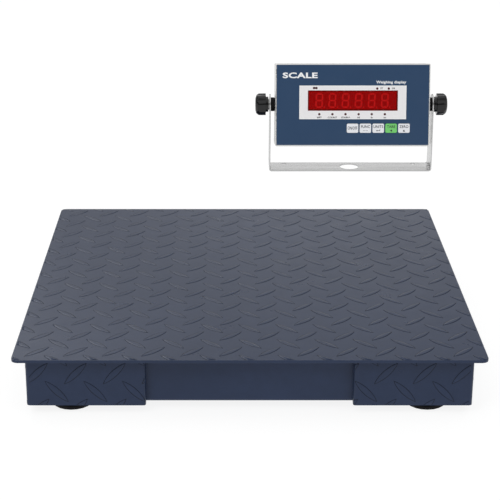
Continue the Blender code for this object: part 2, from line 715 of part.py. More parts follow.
def add_case(scale, head):
    """The case: five walls of sheet, open behind, with openings for the display, the keys and the studs."""
    bm = bmesh.new()
    bmesh.ops.create_cube(bm, size=1)
    bmesh.ops.scale(bm, vec=(CASE_WIDTH, CASE_DEPTH, CASE_HEIGHT), verts=bm.verts)
    back = [face for face in bm.faces if face.normal.y > 0.5]
    bmesh.ops.delete(bm, geom=back, context="FACES")
    edges = [edge for edge in bm.edges if not edge.is_boundary]
    bmesh.ops.bevel(
        bm, geom=edges, offset=CASE_EDGE_RADIUS, segments=2, profile=0.5, affect="EDGES"
    )
    solidify = {"thickness": CASE_WALL, "offset": -1, "use_even_offset": True}
    shell = evaluated(mesh_from(bm), [("SOLIDIFY", solidify)])
    wall = CASE_FRONT + CASE_WALL / 2
    deep = CASE_WALL + 2 * CUT_MARGIN
    window = box(
        (LENS_SIZE.x + 2 * KEY_SLOT_MARGIN, deep, LENS_SIZE.y + 2 * KEY_SLOT_MARGIN),
        (LENS_CENTRE.x, wall, LENS_CENTRE.y),
    )
    row = (KEY_COUNT - 1) * KEY_PITCH + KEY_SIZE.x + 2 * KEY_SLOT_MARGIN
    slot = box((row, deep, KEY_SIZE.y + 2 * KEY_SLOT_MARGIN), (KEY_ROW_CENTRE_X, wall, KEY_ROW_Z))
    sideways = Matrix.Rotation(math.pi / 2, 4, "Y")
    studs = [
        cylinder(STUD_RADIUS + GAP, deep, (side * (CASE_SIDE - CASE_WALL / 2), 0, 0), sideways)
        for side in SIDES.values()
    ]
    scale.place("case", cut(shell, window, slot, *studs), "stainless", parent=head)


def add_rear_cover(scale, head):
    """The plate that closes the case behind, and the two sockets in it."""
    sockets = (
        ("signal_socket", SIGNAL_SOCKET_X, SIGNAL_SOCKET_RADIUS),
        ("power_socket", POWER_SOCKET_X, POWER_SOCKET_RADIUS),
    )
    holes = [circle((-x, SOCKET_ROW_Z), radius + GAP) for _, x, radius in sockets]
    outline = rounded_rectangle((CASE_WIDTH, CASE_HEIGHT), radius=CASE_EDGE_RADIUS, steps=2)
    facing = Matrix.Rotation(math.pi, 4, "Z") @ FACING_FRONT
    cover = moved(plate([outline, *holes], CASE_WALL), (0, COVER_FRONT, 0), facing)
    scale.place("rear_cover", cover, "stainless", parent=head)
    outer = COVER_FRONT + CASE_WALL
    for name, x, radius in sockets:
        flange = radius + SOCKET_FLANGE_EXTRA
        bore = radius - SOCKET_WALL_THICK
        profile = [
            (0, SOCKET_FLANGE_THICK),
            (bore, SOCKET_FLANGE_THICK),
            (bore, SOCKET_LENGTH),
            (radius, SOCKET_LENGTH),
            (radius, GAP + SOCKET_FLANGE_THICK),
            (flange, GAP + SOCKET_FLANGE_THICK),
            (flange, GAP),
            (radius, GAP),
            (radius, -CASE_WALL - SOCKET_FLANGE_THICK),
            (0, -CASE_WALL - SOCKET_FLANGE_THICK),
        ]
        mesh = moved(smooth(turned(profile)), (0, 0, 0), FACING_REAR)
        finish = "bare_steel" if name == "signal_socket" else "black_plastic"
        scale.place(name, mesh, finish, (x, outer, SOCKET_ROW_Z), parent=head)


def front_plate(outlines, thickness):
    """A plate that faces the front, drawn as (x, z) outlines, with its rear face at Y = 0."""
    return moved(plate(outlines, thickness), (0, 0, 0), FACING_FRONT)


def add_front(scale, head):
    """The printed film with its window and key openings, the grey surround and the red lens."""
    film_back = CASE_FRONT - GAP
    edge = (CASE_WIDTH - 2 * FILM_MARGIN, CASE_HEIGHT - 2 * FILM_MARGIN)
    gaps = (2 * GAP, 2 * GAP)
    cuts = [rounded_rectangle(WINDOW_SIZE + Vector(gaps), WINDOW_CENTRE)]
    for index in range(KEY_COUNT):
        cuts.append(
            rounded_rectangle(KEY_SIZE + Vector(gaps), key_centre(index), KEY_RADIUS + GAP)
        )
    film = front_plate([rounded_rectangle(edge), *cuts], FILM_THICK)
    scale.place("front_film", film, "blue_film", (0, film_back, 0), parent=head)
    opening = rounded_rectangle(LENS_SIZE + Vector(gaps), LENS_CENTRE)
    surround = front_plate([rounded_rectangle(WINDOW_SIZE, WINDOW_CENTRE), opening], FILM_THICK)
    scale.place("window_surround", surround, "grey_print", (0, film_back, 0), parent=head)
    lens = front_plate([rounded_rectangle(LENS_SIZE, LENS_CENTRE)], LENS_THICK)
    lens_back = FILM_FRONT + LENS_THICK
    scale.place("red_lens", lens, "red_lens", (0, lens_back, 0), parent=head)


def add_keys(scale, head):
    """Five keys, and the board behind them with a tactile dome under each."""
    key_front = FILM_FRONT - KEY_PROUD
    thickness = CASE_FRONT - GAP - key_front
    names = ("power_key", "function_key", "unit_key", "tare_key", "zero_key")
    for index, name in enumerate(names[:KEY_COUNT]):
        x, z = key_centre(index)
        mesh = front_plate([rounded_rectangle(KEY_SIZE, radius=KEY_RADIUS)], thickness)
        finish = "key_green" if name == "tare_key" else "key_white"
        scale.place(name, mesh, finish, (x, CASE_FRONT - GAP, z), parent=head)
    board_front = CASE_FRONT + CASE_WALL + GAP
    size = ((KEY_COUNT - 1) * KEY_PITCH + KEY_SIZE.x, KEY_SIZE.y)
    board = front_plate([rounded_rectangle(size, (KEY_ROW_CENTRE_X, KEY_ROW_Z))], BOARD_THICK)
    board = moved(board, (0, board_front + BOARD_THICK, 0))
    dome_front = CASE_FRONT - GAP + KEY_TRAVEL + GAP
    dome_length = board_front + BOARD_THICK / 2 - dome_front
    domes = []
    for index in range(KEY_COUNT):
        x, z = key_centre(index)
        centre = (x, dome_front + dome_length / 2, z)
        domes.append(cylinder(DOME_RADIUS, dome_length, centre, FACING_FRONT))
    scale.place("key_board", joined(board, *domes), "circuit_green", parent=head)


def add_electronics(scale, head):
    """The digit module behind the lens, the main board and the rechargeable battery."""
    inner_front = CASE_FRONT + CASE_WALL
    display_depth = BOARD_SETBACK - 2 * GAP
    display_size = (
        LENS_SIZE.x - 2 * DISPLAY_MARGIN,
        display_depth,
        LENS_SIZE.y - 2 * DISPLAY_MARGIN,
    )
    display_centre = (LENS_CENTRE.x, inner_front + GAP + display_depth / 2, LENS_CENTRE.y)
    display = box(display_size, display_centre)
    scale.place("digit_module", display, "black_plastic", parent=head)

    board_y = inner_front + BOARD_SETBACK
    board = box((BOARD_SIZE.x, BOARD_THICK, BOARD_SIZE.y), (0, board_y + BOARD_THICK / 2, 0))
    fittings = [
        box(CHIP_SIZE, (60 * MM, board_y + CHIP_SIZE.y / 2, 20 * MM)),
        box(CONNECTOR_SIZE, (50 * MM, board_y + CONNECTOR_SIZE.y / 2, -40 * MM)),
        box(TRANSFORMER_SIZE, (10 * MM, board_y + TRANSFORMER_SIZE.y / 2, 30 * MM)),
    ]
    post_length = BOARD_SETBACK - GAP + BOARD_THICK / 2
    for side_x in SIDES.values():
        for side_z in SIDES.values():
            x = side_x * (BOARD_SIZE.x / 2 - BOARD_POST_INSET)
            z = side_z * (BOARD_SIZE.y / 2 - BOARD_POST_INSET)
            post = (x, inner_front + GAP + post_length / 2, z)
            fittings.append(cylinder(BOARD_POST_RADIUS, post_length, post, FACING_FRONT, 8))
    scale.place("main_board", joined(board, *fittings), "circuit_green", parent=head)

    inner_x = CASE_SIDE - CASE_WALL - STUD_HEAD_LENGTH - 2 * GAP
    battery_y = COVER_FRONT - 2 * GAP - BATTERY_SIZE.y / 2
    floor = -CASE_HEIGHT / 2 + CASE_WALL + GAP
    centre = (-inner_x + BATTERY_SIZE.x / 2, battery_y, floor + BATTERY_SIZE.z / 2)
    terminals = []
    for side in SIDES.values():
        x = centre[0] + side * BATTERY_SIZE.x / 4
        terminal = (x, battery_y, floor + BATTERY_SIZE.z)
        terminals.append(cylinder(BATTERY_TERMINAL_RADIUS, 2 * BATTERY_TERMINAL_HEIGHT, terminal))
    battery = joined(box(BATTERY_SIZE, centre), *terminals)
    scale.place("battery", battery, "black_plastic", parent=head)


def knob_mesh():
    """A lobed clamping knob along +X, its clamping face at X = 0, with a blind hole for the stud."""
    steps = 6 * KNOB_LOBES
    grip = []
    for i in range(steps):
        angle = 2 * math.pi * i / steps
        flute = (1 - math.cos(KNOB_LOBES * angle)) / 2
        radius = KNOB_RADIUS - KNOB_FLUTE_DEPTH * flute**2
        grip.append((radius * math.cos(angle), radius * math.sin(angle)))
    lobes = moved(plate([grip], KNOB_LENGTH), (0, 0, KNOB_NECK_LENGTH))
    end = KNOB_NECK_LENGTH + KNOB_LENGTH
    crown = turned([
        (0, end),
        (KNOB_RADIUS - 4 * MM, end),
        (KNOB_RADIUS - 1.5 * MM, end - 2 * MM),
        (KNOB_RADIUS + MM, end - 7 * MM),
        (KNOB_RADIUS + MM, KNOB_NECK_LENGTH - CUT_MARGIN),
        (0, KNOB_NECK_LENGTH - CUT_MARGIN),
    ])
    head = combined(lobes, [crown], "INTERSECT")
    neck = cylinder(
        KNOB_NECK_RADIUS,
        KNOB_NECK_LENGTH + CUT_MARGIN,
        (0, 0, (KNOB_NECK_LENGTH + CUT_MARGIN) / 2),
        steps=ROUND_STEPS,
    )
    depth = STUD_IN_KNOB + 2 * GAP + CUT_MARGIN
    bore = cylinder(STUD_RADIUS + GAP, depth, (0, 0, depth / 2 - CUT_MARGIN))
    return smooth(cut(joined(head, neck), bore))


def ring(radius, bore, thickness):
    return smooth(turned([(radius, thickness), (radius, 0), (bore, 0), (bore, thickness)]))


def stud_mesh():
    """A screw along +X whose head's outer face is against the case's side wall, inside it."""
    start = CASE_SIDE - CASE_WALL - GAP
    end = KNOB_FACE + STUD_IN_KNOB
    profile = [
        (0, end),
        (STUD_RADIUS, end),
        (STUD_RADIUS, start - STUD_HEAD_LENGTH / 2),
        (0, start - STUD_HEAD_LENGTH / 2),
    ]
    head = cylinder(STUD_HEAD_RADIUS, STUD_HEAD_LENGTH, (0, 0, start - STUD_HEAD_LENGTH / 2), steps=6)
    return joined(smooth(turned(profile, SMALL_STEPS)), head)


def add_pivots(scale, head):
    """At each side a stud, a rubber bush inside the yoke's arm, and a washer and a knob outside it."""
    for side_name, side in SIDES.items():
        outward = Matrix.Rotation(side * math.pi / 2, 4, "Y")
        pieces = (
            ("stud", stud_mesh(), "bare_steel", 0.0),
            ("bush", ring(BUSH_RADIUS, STUD_RADIUS + GAP, BUSH_THICK), "black_rubber", CASE_SIDE + GAP),
            ("washer", ring(WASHER_RADIUS, STUD_RADIUS + GAP, WASHER_THICK), "bare_steel", YOKE_OUTER + GAP),
            ("knob", knob_mesh(), "black_plastic", KNOB_FACE),
        )
        for piece, mesh, finish, distance in pieces:
            moved(mesh, (0, 0, 0), outward)
            name = f"{side_name}_{piece}"
            scale.place(name, mesh, finish, (side * distance, 0, 0), parent=head)


def add_indicator(scale):
    add_yoke(scale, empty("yoke_axis", PIVOT, scale.collection))
    head = empty("tilt_axis", PIVOT, scale.collection)
    head.rotation_euler.x = -math.radians(HEAD_TILT)
    add_case(scale, head)
    add_rear_cover(scale, head)
    add_front(scale, head)
    add_keys(scale, head)
    add_electronics(scale, head)
    add_pivots(scale, head)


def main():
    clear_scene()
    scale = Assembly("pallet_scale")
    add_deck(scale)
    add_skirts(scale)
    add_end_channels(scale)
    add_beams_and_ribs(scale)
    add_load_cells(scale)
    add_feet(scale)
    add_junction_box(scale)
    add_signal_gland(scale)
    add_indicator(scale)


main()
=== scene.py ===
import itertools
import json
import math

import bmesh
import bpy
from mathutils import Matrix, Vector


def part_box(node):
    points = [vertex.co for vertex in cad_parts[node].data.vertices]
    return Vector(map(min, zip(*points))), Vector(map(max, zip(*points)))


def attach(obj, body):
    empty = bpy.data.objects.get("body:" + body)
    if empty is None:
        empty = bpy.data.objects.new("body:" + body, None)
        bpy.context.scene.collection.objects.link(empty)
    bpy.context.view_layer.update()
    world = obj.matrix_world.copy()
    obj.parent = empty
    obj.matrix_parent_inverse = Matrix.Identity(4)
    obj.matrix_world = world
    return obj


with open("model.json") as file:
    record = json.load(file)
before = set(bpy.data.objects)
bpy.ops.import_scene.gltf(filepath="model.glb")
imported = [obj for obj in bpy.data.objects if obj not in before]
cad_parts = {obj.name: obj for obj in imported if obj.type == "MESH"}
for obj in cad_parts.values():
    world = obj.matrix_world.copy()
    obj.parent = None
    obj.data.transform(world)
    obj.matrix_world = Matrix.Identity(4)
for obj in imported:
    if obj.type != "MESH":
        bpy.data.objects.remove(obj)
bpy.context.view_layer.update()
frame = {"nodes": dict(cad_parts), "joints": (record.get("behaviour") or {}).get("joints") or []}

MM = 0.001
EPS = 0.02 * MM  # lifts a printed mark off the film under it
X_AXIS, Y_AXIS, Z_AXIS = (Vector(axis) for axis in ((1, 0, 0), (0, 1, 0), (0, 0, 1)))
CORNERS = {
    "front_left": (-1, -1),
    "front_right": (1, -1),
    "rear_left": (-1, 1),
    "rear_right": (1, 1),
}

# Camera, matched to the platform's edges. The pitch is in degrees below level.
CAMERA_AT = (-0.0356, -2.6131, 1.112)
CAMERA_PITCH = 20.03
CAMERA_LENS = 104.6
CAMERA_SENSOR = 36
CAMERA_SHIFT_X = 0.0428

# Checker plate: lugs that rise to the right, with the falling ones half a pitch away
LUG_PITCH = Vector((65.6, 66.6)) * MM
LUG_LENGTH = 51 * MM
LUG_WIDTH = 10 * MM
LUG_HEIGHT = 0.33 * MM
LUG_SHOULDER = 1.3 * MM  # width of the sloping flank
LUG_CREASE = 1.25 * MM  # width of the dark crease round a lug, painted shade where the lug meets the plate
LUG_SINK = 0.25 * MM
LUG_SIDE_POINTS = 9
LUG_TIP_TAPER = 1.8  # how much faster a lug's rings close in at its tips than at its sides
LUG_FULLNESS = 0.85  # below 1, its outline is fuller than a parabola
LUG_RINGS = (
    # distance in from the outline, height
    (-LUG_CREASE, -LUG_SINK),
    (-LUG_CREASE, 0.02 * MM),
    (0.0, 0.05 * MM),
    (LUG_SHOULDER * 0.5, LUG_HEIGHT * 0.62),
    (LUG_SHOULDER, LUG_HEIGHT * 0.93),
    (LUG_SHOULDER * 1.7, LUG_HEIGHT),
)
CUT_TOLERANCE = 1e-7
CREASE_BANDS = 2  # the lowest bands between rings, in the crease's darker paint, which is painted shade
LUG_OVERHANG = 0.7 * LUG_LENGTH / 2  # a lug at 45 degrees reaches this far along each axis
DECK_FIRST_LUG = Vector((-360, -364)) * MM
SKIRT_FIRST_LUG_Z = 75.5 * MM
DECK_MARGIN = 2.5 * MM  # left without lugs along the rounded edges
SKIRT_MARGIN = 1.2 * MM
SKIRT_TOP_MARGIN = 0.2 * MM
SKIRT_BEND_MARGIN = 6.5 * MM

PAINT = (0.018, 0.030, 0.067)
FILM_BLUE = (0.023, 0.055, 0.118)
ENAMEL_GLOSS = 0.22  # specular level

# Rounded edges of the CAD nodes, and hard edges of the new fittings, each from an angle on
BEVEL_SEGMENTS = 2
BEVEL_FROM = math.radians(35)
MERGE_DISTANCE = 0.005 * MM
SPLIT_FROM = math.radians(32)

# Print. Each type is (height of a capital, extra weight, stretch).
CAPITAL_HEIGHT = 0.69  # of the font's size
LETTER_SPACING = 1.05
LETTER_DEPTH = 0.01 * MM
PRINT_THICK = 0.03 * MM
TITLE_TYPE = (8.2 * MM, 0.4 * MM, 1.62)
SUBTITLE_TYPE = (4.1 * MM, 0.17 * MM, 1.12)
LABEL_TYPE = (2.9 * MM, 0.14 * MM, 0.95)
SIDE_LABEL_TYPE = (2.6 * MM, 0.12 * MM, 1.0)
LEGEND_TYPE = (4.2 * MM, 0.12 * MM, 0.9)
LONE_LEGEND_TYPE = (4.8 * MM, 0.12 * MM, 0.6)  # on the key that has no symbol
TITLE_INSET = 9.5 * MM
TITLE_DROP = 17.2 * MM
SUBTITLE_INSET = 1 * MM
SUBTITLE_RISE = 5.4 * MM

# Digits on the module's face, seven segments and a point each
DIGIT_FIRST_X = -54 * MM
DIGIT_PITCH = 21.2 * MM
DIGIT_WIDTH = 12.4 * MM
DIGIT_HEIGHT = 23.8 * MM
DIGIT_LEAN = 0.04
SEGMENT_WIDTH = 2.6 * MM
SEGMENT_GAP = 0.35 * MM
SEGMENT_THICK = 0.05 * MM
POINT_OFFSET = 1.9 * MM
POINT_RADIUS = 1.2 * MM
POINT_STEPS = 14

# Lamps printed round the lens: a row below it, one under each digit, and some above it
LAMP_LABELS = ("NET", "COUNT", "STABLE", "HI", "lb", "kg")
LAMP_RADIUS = 1.9 * MM
LAMP_DROP = 5.9 * MM
LABEL_DROP = 5.7 * MM
UPPER_MARK_RISE = 4.1 * MM
UPPER_LAMP_DROP = 0.8 * MM
UPPER_LABEL_DROP = 0.6 * MM
UPPER_LAMPS = (
    # x, label, the label's x
    (39.2 * MM, "ST", 46.2 * MM),
    (57.8 * MM, "GR", 65.2 * MM),
)
PILL_X = -60.9 * MM  # a long lamp, of two discs and a bar
PILL_REACH = 2 * MM
PILL_BAR = (3 * MM, 2.6 * MM)
WINDOW_RIM = 1.4 * MM

# Keys: (node, legend, symbol)
KEY_LEGENDS = (
    ("power_key", "ON/OFF", None),
    ("function_key", "FUNC", "dash"),
    ("unit_key", "UNITS", "return"),
    ("tare_key", "TARE", "left"),
    ("zero_key", "ZERO", "up"),
)
LEGEND_LIFT = 2.3 * MM
SYMBOL_DROP = 3.9 * MM
SYMBOL_UNIT = 1.35 * MM
SYMBOLS = {
    # outlines, in symbol units
    "dash": [
        [(x - 0.45, -0.25), (x + 0.45, -0.25), (x + 0.45, 0.25), (x - 0.45, 0.25)]
        for x in (-2.4, -0.8, 0.8, 2.4)
    ],
    "return": [
        [(-2.6, 0), (-1.0, -1.1), (-1.0, 1.1)],
        [(-1.0, -0.3), (2.2, -0.3), (2.2, 0.3), (-1.0, 0.3)],
        [(1.7, 0.3), (2.3, 0.3), (2.3, 1.5), (1.7, 1.5)],
    ],
    "left": [[(-1.4, 0), (1.2, -1.4), (1.2, 1.4)]],
    "up": [[(-1.5, -1.1), (1.5, -1.1), (0, 1.4)]],
}


def millimetres(*profile):
    """A turned profile in metres, from points written in millimetres."""
    return [(radius * MM, z * MM, *kind) for radius, z, *kind in profile]


# Screws with a hexagonal socket: (radius, height, depth of the socket)
COVER_SCREW = (3.2 * MM, 1.9 * MM, 1.3 * MM)
LID_SCREW = (3.6 * MM, 2.2 * MM, 1.5 * MM)
SCREW_INSET = 6 * MM
SCREW_SEAT = 0.2 * MM  # how far a screw's head goes into its sheet

# Two hexagon bolts for each cell, either side of its spacer's middle
CELL_BOLT_FLATS = 18 * MM
CELL_BOLT_HEIGHT = 7 * MM
CELL_BOLT_OFFSET = 12.7 * MM
WASHER_RADIUS = 11.8 * MM
WASHER_HEIGHT = 1.6 * MM

# Turned profiles: see lathe. The lock nut is 4 mm high, because the stem's hexagon comes within
# 4.35 mm of the cell at the end of its travel.
LOCK_NUT = millimetres(
    (6.5, 0), (9.5, 0.2), (9.5, 0.4), (9.5, 0.6, "hex"), (9.5, 3.5, "hex"), (8.6, 4), (6.5, 4)
)
GLAND_NUT = millimetres((9.5, 0), (10.6, 0.4, "hex"), (10.6, 6.6, "hex"), (9.5, 7))
GLAND_NUT_SETBACK = 13 * MM  # from the gland's rear end
KNOB_CAP = millimetres(
    (11.5, -0.3), (11.5, 0.5), (10.5, 0.9), (8.6, 0.9), (8.2, 0.3), (3.0, 0.45), (2.0, 0.5)
)
PIN = millimetres((0.75, 0), (0.75, 4), (0.3, 4.5))
NUT_STEPS = 48
KNOB_CAP_STEPS = 36
PIN_STEPS = 12
SOCKET_DEPTH = 7 * MM
INSERT_SINK = 1 * MM
INSERT_LIP = 0.4 * MM
SOCKETS = (
    # node, the insert's radius, number of pins, radius of their circle
    ("signal_socket", 7.4 * MM, 4, 3.6 * MM),
    ("power_socket", 4.9 * MM, 1, 0),
)

# M12 thread on the stems, from below the cell up to the stem's end
THREAD_PITCH = 1.75 * MM
THREAD_ROOT = 5.95 * MM
THREAD_CREST = 6.12 * MM
THREAD_START = 12.5 * MM

# Weld beads of the ribs
WELDS_PER_SIDE = 6
WELD_LENGTH = 60 * MM
WELD_RADIUS = 2.6 * MM
WELD_RIPPLE = 3 * MM
WELD_DIP = 0.86  # share of the radius between two ripples
WELD_TAPER = 0.4  # share of the radius at the ends
WELD_STEPS = 6

# Floor
FLOOR_HALF_SIDE = 100
FLOOR_GLOW = 0.87
FLOOR_DROP = 0.2 * MM

# Light. The room's two ramps, up to overhead and down to a pale band at the horizon, each give the
# direction's z where they start and end, and the strength at either end.
ROOM_LIGHT = (0.3, 0.95, 0.17, 1.12)
HORIZON = (0.04, 0.12, 0.84, 0.0)
GLOWS = (
    # azimuth from the rear and elevation in degrees, inner and outer radius in degrees, strength
    (6, 12, 3, 14, 1.0),
    (-17, 33.5, 2, 16, 3.0),
)
SOFTBOX_SIZE = 1.4
SOFTBOXES = (
    # name, place, target, power
    ("key_light", (-1.6, -2.4, 2.6), (0.1, -0.1, 0.3), 24),
    ("fill_light", (2.2, -2.0, 1.6), (0, 0, 0.2), 8),
)


# ---------------------------------------------------------------- materials

class Shader:
    """A Principled material, with helpers that add noise and bump to it."""

    def __init__(self, name, colour, **sockets):
        self.material = bpy.data.materials.new(name)
        self.material.use_nodes = True
        self.tree = self.material.node_tree
        self.shader = self.tree.nodes["Principled BSDF"]
        self.shader.inputs["Base Color"].default_value = (*colour, 1)
        for socket, value in sockets.items():
            self.shader.inputs[socket.replace("_", " ")].default_value = value
        self.coordinates = self.tree.nodes.new("ShaderNodeTexCoord").outputs["Object"]
        self.normal = None

    def node(self, kind, inputs=(), **settings):
        made = self.tree.nodes.new(kind)
        for key, value in settings.items():
            setattr(made, key, value)
        for key, value in dict(inputs).items():
            if isinstance(value, bpy.types.NodeSocket):
                self.tree.links.new(value, made.inputs[key])
            else:
                made.inputs[key].default_value = value
        return made

    def noise(self, scale, detail, stretch=(1, 1, 1)):
        """Noise from 0 to 1, with scale cells to the metre, stretched by scaling its coordinates."""
        mapping = self.node(
            "ShaderNodeMapping", {"Vector": self.coordinates, "Scale": stretch}
        )
        made = self.node(
            "ShaderNodeTexNoise",
            {"Vector": mapping.outputs["Vector"], "Scale": scale, "Detail": detail},
        )
        return made.outputs["Fac"]

    def ranged(self, value, low, high, start=0.3, end=0.7):
        """The value's stretch from start to end, where most of a noise lies, mapped to low and high."""
        made = self.node(
            "ShaderNodeMapRange",
            {"Value": value, "From Min": start, "From Max": end, "To Min": low, "To Max": high},
        )
        return made.outputs["Result"]

    def tint(self, factor, other, amount, *stretch):
        """Blends the present base colour towards another where the factor is high."""
        socket = self.shader.inputs["Base Color"]
        mix = self.node("ShaderNodeMix", data_type="RGBA")
        self.tree.links.new(self.ranged(factor, 0.0, amount, *stretch), mix.inputs["Factor"])
        if socket.is_linked:
            self.tree.links.new(socket.links[0].from_socket, mix.inputs["A"])
        else:
            mix.inputs["A"].default_value = socket.default_value
        mix.inputs["B"].default_value = (*other, 1)
        self.tree.links.new(mix.outputs["Result"], socket)

    def roughen(self, factor, low, high):
        self.tree.links.new(self.ranged(factor, low, high), self.shader.inputs["Roughness"])

    def bump(self, height, distance, strength):
        inputs = {"Height": height, "Distance": distance, "Strength": strength}
        if self.normal is not None:
            inputs["Normal"] = self.normal
        made = self.node("ShaderNodeBump", inputs)
        self.normal = made.outputs["Normal"]
        self.tree.links.new(self.normal, self.shader.inputs["Normal"])


def scaled(colour, factor):
    return tuple(channel * factor for channel in colour)


def painted(name, factor=1.0, roughness=(0.27, 0.35)):
    """Slate-blue baked enamel: orange peel, faint clouding and a little dust."""
    made = Shader(name, scaled(PAINT, factor), Specular_IOR_Level=ENAMEL_GLOSS)
    clouds, mottle, dust = made.noise(5, 4), made.noise(70, 5), made.noise(900, 2)
    orange_peel, grain = made.noise(420, 2), made.noise(2600, 2)
    made.tint(clouds, scaled(PAINT, 1.2 * factor), 0.8)
    made.tint(mottle, scaled(PAINT, 0.8 * factor), 0.35)
    made.tint(dust, (0.08, 0.09, 0.11), 0.08, 0.55, 0.75)
    made.roughen(made.noise(22, 5), *roughness)
    made.bump(orange_peel, 0.05 * MM, 0.5)
    made.bump(grain, 0.012 * MM, 0.5)
    return made.material


def brushed(name, colour=(0.69, 0.69, 0.68), roughness=(0.22, 0.36)):
    """Brushed stainless sheet, its grain along X."""
    along = (0.04, 1, 1)
    made = Shader(name, colour, Metallic=1.0)
    grain = made.noise(260, 4, along)
    made.tint(grain, scaled(colour, 0.92), 0.6)
    made.tint(made.noise(14, 3), scaled(colour, 1.08), 0.4)
    made.roughen(made.noise(180, 4, along), *roughness)
    made.bump(grain, 0.02 * MM, 0.35)
    return made.material


def machined(name, colour, roughness=(0.28, 0.42)):
    """Bare or plated metal, with fine tool marks."""
    made = Shader(name, colour, Metallic=1.0)
    made.tint(made.noise(35, 4), scaled(colour, 0.8), 0.6)
    made.roughen(made.noise(160, 4), *roughness)
    made.bump(made.noise(480, 3), 0.02 * MM, 0.4)
    return made.material


def moulded(name, colour, roughness=(0.3, 0.45), grain=1800, depth=0.03, gloss=0.5):
    """Plastic or rubber with a moulded grain. depth is in millimetres, gloss is the specular level."""
    made = Shader(name, colour, Specular_IOR_Level=gloss)
    made.tint(made.noise(60, 4), scaled(colour, 1.5), 0.3)
    made.roughen(made.noise(90, 4), *roughness)
    made.bump(made.noise(grain, 2), depth * MM, 0.5)
    return made.material


def printed(name, colour, roughness=(0.3, 0.38), variation=1.05, painted_glow=None):
    """Ink on polyester film with its fine velvet texture. An emission colour, if given, is painted
    light on an unlit face behind a lens.
    """
    made = Shader(name, colour, Specular_IOR_Level=0.3)
    if painted_glow:
        made.shader.inputs["Emission Color"].default_value = (*painted_glow, 1)
        made.shader.inputs["Emission Strength"].default_value = 1.0
    made.tint(made.noise(12, 3), scaled(colour, variation), 0.6)
    made.roughen(made.noise(40, 4), *roughness)
    made.bump(made.noise(3200, 2), 0.008 * MM, 0.5)
    return made.material


def clear_red(name):
    """Clear red acrylic, glossy, through which the unlit digits show."""
    made = Shader(name, (0.27, 0.0005, 0.0005), Alpha=0.4, Specular_IOR_Level=0.2)
    made.roughen(made.noise(30, 3), 0.06, 0.12)
    return made.material


MATERIALS = {
    "painted_steel": painted("painted_steel"),
    # A darker copy of the enamel: painted shade for the creases round the lugs
    "painted_crease_shade": painted("painted_crease_shade", 0.35, (0.6, 0.7)),
    "painted_sheet": painted("painted_sheet", 1.05, (0.3, 0.4)),
    "stainless": brushed("stainless"),
    "stainless_yoke": brushed("stainless_yoke", (0.53, 0.53, 0.53), (0.2, 0.32)),
    "bare_steel": machined("bare_steel", (0.56, 0.56, 0.57)),
    "zinc": machined("zinc", (0.62, 0.62, 0.60), (0.25, 0.4)),
    "brass": machined("brass", (0.76, 0.57, 0.27), (0.25, 0.35)),
    "weld": painted("weld", 1.0, (0.3, 0.45)),
    "black_rubber": moulded("black_rubber", (0.006, 0.006, 0.007), (0.6, 0.8), 900, 0.06, 0.15),
    "black_plastic": moulded("black_plastic", (0.006, 0.006, 0.0065), (0.22, 0.34), gloss=0.35),
    "knob_plastic": moulded("knob_plastic", (0.003, 0.003, 0.0035), (0.1, 0.18), gloss=0.38),
    "red_lens": clear_red("red_lens"),
    "nylon": moulded("nylon", (0.7, 0.69, 0.65), (0.4, 0.55)),
    "blue_film": printed("blue_film", FILM_BLUE),
    "grey_print": printed("grey_print", (0.81, 0.80, 0.81), variation=0.97),
    "white_ink": printed("white_ink", (0.86, 0.87, 0.88), variation=0.96),
    "dark_ink": printed("dark_ink", (0.03, 0.03, 0.035)),
    "maroon_ink": printed("maroon_ink", (0.05, 0.001, 0.004)),
    "key_white": printed("key_white", (0.80, 0.81, 0.85), variation=0.94),
    "key_green": printed("key_green", (0.18, 0.60, 0.165), variation=0.9),
    # The module's face and its unlit segments glow faintly: painted light that stands for light coming
    # through the lens
    "display_face": printed("display_face", (0.16, 0.0, 0.0), (0.4, 0.5), painted_glow=(0.24, 0, 0)),
    "segment": printed("segment", (0.55, 0.01, 0.01), (0.4, 0.5), painted_glow=(0.52, 0.01, 0.01)),
    "circuit_green": printed("circuit_green", (0.02, 0.16, 0.06)),
    "box_grey": moulded("box_grey", (0.40, 0.41, 0.42), (0.4, 0.55), 700, 0.06),
}


# ---------------------------------------------------------------- the frame's nodes

def smooth(mesh):
    mesh.polygons.foreach_set("use_smooth", [True] * len(mesh.polygons))


def round_edges(obj, width):
    """Rounds a node's hard edges, and shades it smooth."""
    smooth(obj.data)
    weld = obj.modifiers.new("Weld", "WELD")
    weld.merge_threshold = MERGE_DISTANCE
    bevel = obj.modifiers.new("Bevel", "BEVEL")
    bevel.width = width
    bevel.segments = BEVEL_SEGMENTS
    bevel.limit_method = "ANGLE"
    bevel.angle_limit = BEVEL_FROM
    bevel.use_clamp_overlap = True
    normals = obj.modifiers.new("WeightedNormal", "WEIGHTED_NORMAL")
    normals.keep_sharp = True


def treat(material, width, *names):
    """Gives nodes, found by the start of their names, a material and edges rounded to a width."""
    for name, obj in frame["nodes"].items():
        if any(name == start or name.startswith(start + "_") for start in names):
            obj.data.materials.clear()
            obj.data.materials.append(MATERIALS[material])
            if width:
                round_edges(obj, width)


